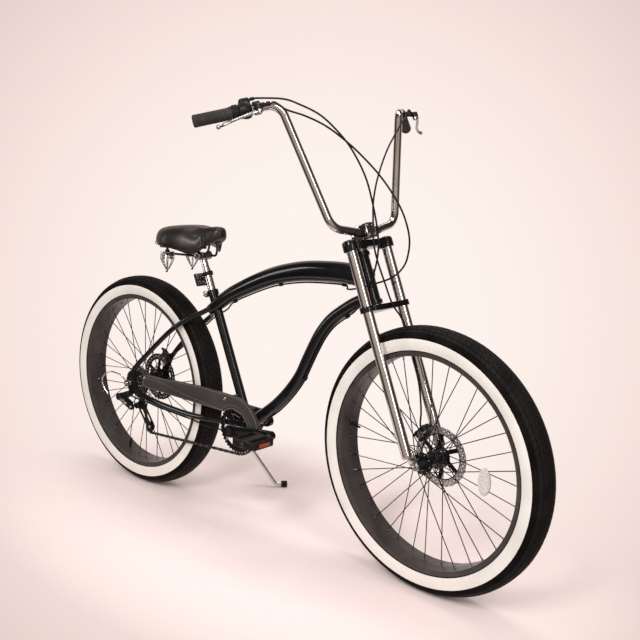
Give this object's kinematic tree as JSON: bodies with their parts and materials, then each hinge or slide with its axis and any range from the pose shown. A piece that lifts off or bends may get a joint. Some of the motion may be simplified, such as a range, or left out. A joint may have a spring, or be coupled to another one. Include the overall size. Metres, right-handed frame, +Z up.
{
  "type": "beach cruiser bicycle",
  "caption": "Upright beach cruiser with double-crown chrome fork, high riser bar, sprung saddle, disc brakes, derailleur gears and side stand.",
  "frame": {"origin": "Bottom centre of the parked bicycle's bounding box, on the ground.", "axes": "+X towards the front wheel, +Y towards the bicycle's left side (the side of the stand), +Z up from the ground."},
  "size_m": [1.8536, 0.8278, 1.2532],
  "materials": {
    "black_paint": "gloss black paint under clear coat",
    "chrome": "polished chrome plate",
    "silver": "polished aluminium",
    "tyre_rubber": "black tread with cream-white sidewall bands",
    "black_rim": "satin black painted rim",
    "black_plastic": "moulded black plastic and rubber",
    "black_leather": "black grained cover over foam",
    "steel": "satin plated steel",
    "grey_guard": "dark grey moulded plastic, half gloss",
    "cable_black": "black cable housing",
    "clear_reflector": "clear prismatic reflector"
  },
  "bodies": {
    "frame": {"head_tube": "black_paint", "top_tube": "black_paint", "down_tube": "black_paint", "seat_tube": "black_paint", "bb_shell": "black_paint", "rear_axle": "silver", "seat_stay_left": "black_paint", "seat_stay_right": "black_paint", "chain_stay_left": "black_paint", "chain_stay_right": "black_paint", "seat_collar": "black_paint", "seat_post": "chrome", "saddle_rails": "chrome", "saddle": "black_leather", "rear_reflector": "black_plastic", "chain": "steel", "chainguard": "grey_guard", "derailleur": "black_plastic", "derailleur_guard": "chrome", "rear_caliper": "black_paint", "stand_bracket": "black_paint", "shift_cable": "cable_black", "rear_brake_cable": "cable_black"},
    "steering": {"crown_lower": "black_paint", "crown_upper": "black_paint", "stem": "chrome", "handlebar": "chrome", "twist_shifter": "black_plastic", "fork_leg_left": "chrome", "fork_leg_right": "chrome", "grip_left": "black_plastic", "grip_right": "black_plastic", "lever_clamp_left": "black_plastic", "lever_clamp_right": "black_plastic", "lever_blade_left": "silver", "lever_blade_right": "silver", "front_axle": "silver", "front_caliper": "black_paint", "front_brake_cable": "cable_black"},
    "front_wheel": {"front_tyre": "tyre_rubber", "front_rim": "black_rim", "front_hub_spokes": "black_paint", "front_rotor": "steel", "wheel_reflector": "clear_reflector"},
    "rear_wheel": {"rear_tyre": "tyre_rubber", "rear_rim": "black_rim", "rear_hub_spokes": "black_paint", "rear_rotor": "steel", "cassette": "steel"},
    "crank": {"chainring": "black_paint", "spindle": "steel", "crank_arm_left": "black_paint", "crank_arm_right": "black_paint"},
    "pedal_left": {"pedal_left": "black_plastic"},
    "pedal_right": {"pedal_right": "black_plastic"},
    "kickstand": {"stand_leg": "chrome", "stand_foot": "black_plastic"}
  },
  "joints": [
    {"name": "steering", "type": "hinge", "parent": "frame", "child": "steering", "pos_m": [0.5357, -0.02407, 0.33497], "axis": [-0.3746, 0.0238, 0.9269], "range_deg": [-52, 58], "deforming": ["shift_cable", "rear_brake_cable"]},
    {"name": "front_wheel_spin", "type": "hinge", "parent": "steering", "child": "front_wheel", "pos_m": [0.57617, -0.02591, 0.35137], "axis": [0.0479, 0.9988, -0.0063], "continuous": true},
    {"name": "rear_wheel_spin", "type": "hinge", "parent": "frame", "child": "rear_wheel", "pos_m": [-0.57578, -0.02365, 0.35133], "axis": [0, 0.9997, -0.0257], "continuous": true},
    {"name": "crank_spin", "type": "hinge", "parent": "frame", "child": "crank", "pos_m": [-0.08078, -0.02501, 0.29835], "axis": [0, 0.9997, -0.0257], "continuous": true},
    {"name": "pedal_left_spin", "type": "hinge", "parent": "crank", "child": "pedal_left", "pos_m": [-0.24715, -0.02561, 0.27498], "axis": [0, 0.9997, -0.0257], "continuous": true},
    {"name": "pedal_right_spin", "type": "hinge", "parent": "crank", "child": "pedal_right", "pos_m": [0.08558, -0.02441, 0.32172], "axis": [0, 0.9997, -0.0257], "continuous": true},
    {"name": "kickstand_fold", "type": "hinge", "parent": "frame", "child": "kickstand", "pos_m": [-0.31578, 0.05714, 0.26423], "axis": [-0.032, 0.8625, 0.505], "range_deg": [0, 98.2]}
  ]
}
